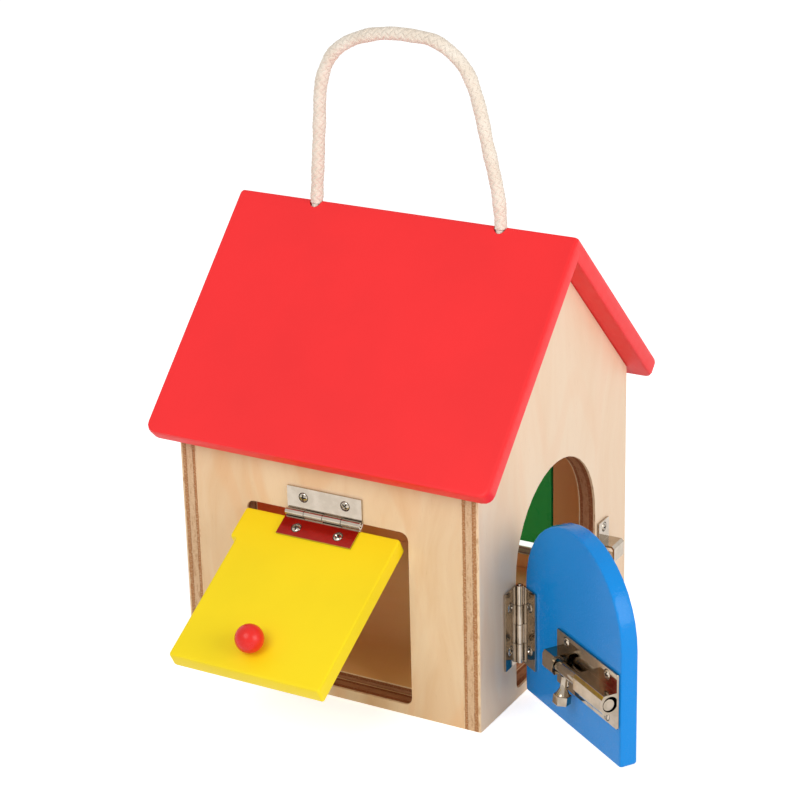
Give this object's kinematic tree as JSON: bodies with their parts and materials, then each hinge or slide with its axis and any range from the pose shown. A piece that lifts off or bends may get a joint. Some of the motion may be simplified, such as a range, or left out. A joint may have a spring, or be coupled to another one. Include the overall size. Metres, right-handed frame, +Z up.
{
  "type": "activity house",
  "caption": "Plywood toy house with a gable roof, a rope handle, a top-hung flap and side-hung doors on butt hinges, with a barrel bolt, a swing hook and a turn button.",
  "frame": {"origin": "centre of the flat underside, midway between the outer faces of the walls", "axes": "+Z up, +X along the ridge towards the gable with the arched door, -Y towards the wall with the yellow flap"},
  "size_m": [0.2505, 0.2493, 0.3068],
  "materials": {
    "birch_plywood": "clear satin lacquer on birch veneer, layered edges bare",
    "red_roof_paint": "satin paint on plywood",
    "yellow_paint": "satin paint on plywood",
    "red_knob_paint": "gloss paint on a turned ball",
    "blue_paint": "semi-gloss paint on plywood",
    "green_paint": "satin paint on plywood",
    "red_door_paint": "satin paint on plywood",
    "nickel": "bright nickel plating on steel",
    "cotton_rope": "soft braided cotton"
  },
  "bodies": {
    "house": {"floor_panel": "birch_plywood", "front_wall": "birch_plywood", "back_wall": "birch_plywood", "left_gable": "birch_plywood", "right_gable": "birch_plywood", "front_roof_panel": "red_roof_paint", "back_roof_panel": "red_roof_paint", "handle_rope": "cotton_rope", "left_rope_end": "cotton_rope", "right_rope_end": "cotton_rope", "yellow_hinge_wall_leaf": "nickel", "yellow_hinge_pin": "nickel", "yellow_hinge_wall_screw_1": "nickel", "yellow_hinge_wall_screw_2": "nickel", "blue_hinge_wall_leaf": "nickel", "blue_hinge_pin": "nickel", "blue_hinge_wall_screw_1": "nickel", "blue_hinge_wall_screw_2": "nickel", "green_hinge_wall_leaf": "nickel", "green_hinge_pin": "nickel", "green_hinge_wall_screw_1": "nickel", "green_hinge_wall_screw_2": "nickel", "red_hinge_wall_leaf": "nickel", "red_hinge_pin": "nickel", "red_hinge_wall_screw_1": "nickel", "red_hinge_wall_screw_2": "nickel", "bolt_keeper": "nickel", "keeper_screw_1": "nickel", "keeper_screw_2": "nickel", "green_hook_screw": "nickel", "red_turn_screw": "nickel"},
    "flap": {"yellow_flap": "yellow_paint", "yellow_knob": "red_knob_paint", "yellow_knob_screw": "nickel", "yellow_hinge_door_leaf": "nickel", "yellow_hinge_door_screw_1": "nickel", "yellow_hinge_door_screw_2": "nickel"},
    "arched_door": {"blue_door": "blue_paint", "blue_hinge_door_leaf": "nickel", "blue_hinge_door_screw_1": "nickel", "blue_hinge_door_screw_2": "nickel", "bolt_plate": "nickel", "bolt_screw_1": "nickel", "bolt_screw_2": "nickel", "bolt_screw_3": "nickel", "bolt_screw_4": "nickel"},
    "rod": {"bolt_rod": "nickel"},
    "knob": {"bolt_knob": "nickel"},
    "back_door": {"green_door": "green_paint", "green_hinge_door_leaf": "nickel", "green_hinge_door_screw_1": "nickel", "green_hinge_door_screw_2": "nickel", "green_catch_screw": "nickel"},
    "hook": {"green_hook": "nickel"},
    "left_door": {"red_door": "red_door_paint", "red_hinge_door_leaf": "nickel", "red_hinge_door_screw_1": "nickel", "red_hinge_door_screw_2": "nickel"},
    "turn_button": {"red_turn_button": "nickel"}
  },
  "joints": [
    {"name": "flap_hinge", "type": "hinge", "parent": "house", "child": "flap", "pos_m": [0, -0.0821, 0.094], "axis": [-1, 0, 0], "range_deg": [-60.6, 99.4]},
    {"name": "arched_door_hinge", "type": "hinge", "parent": "house", "child": "arched_door", "pos_m": [0.0821, -0.044, 0.0409], "axis": [0, 0, -1], "range_deg": [-123.9, 41.1]},
    {"name": "bolt_slide", "type": "slide", "parent": "arched_door", "child": "rod", "axis": [0.83, -0.5577, 0], "range_m": [-0.0035, 0.011]},
    {"name": "bolt_turn", "type": "hinge", "parent": "rod", "child": "knob", "pos_m": [0.11974, -0.07315, 0.0394], "axis": [-0.83, 0.5577, 0], "range_deg": [0, 166]},
    {"name": "back_door_hinge", "type": "hinge", "parent": "house", "child": "back_door", "pos_m": [-0.044, 0.0821, 0.05825], "axis": [0, 0, 1], "range_deg": [0, 170]},
    {"name": "hook_pivot", "type": "hinge", "parent": "house", "child": "hook", "pos_m": [0.06, 0.0821, 0.05825], "axis": [0, -1, 0], "range_deg": [0, 90]},
    {"name": "left_door_hinge", "type": "hinge", "parent": "house", "child": "left_door", "pos_m": [-0.0821, -0.044, 0.0496], "axis": [0, 0, 1], "range_deg": [0, 170]},
    {"name": "button_pivot", "type": "hinge", "parent": "house", "child": "turn_button", "pos_m": [-0.0821, 0.054, 0.0496], "axis": [1, 0, 0], "range_deg": [0, 90]}
  ]
}
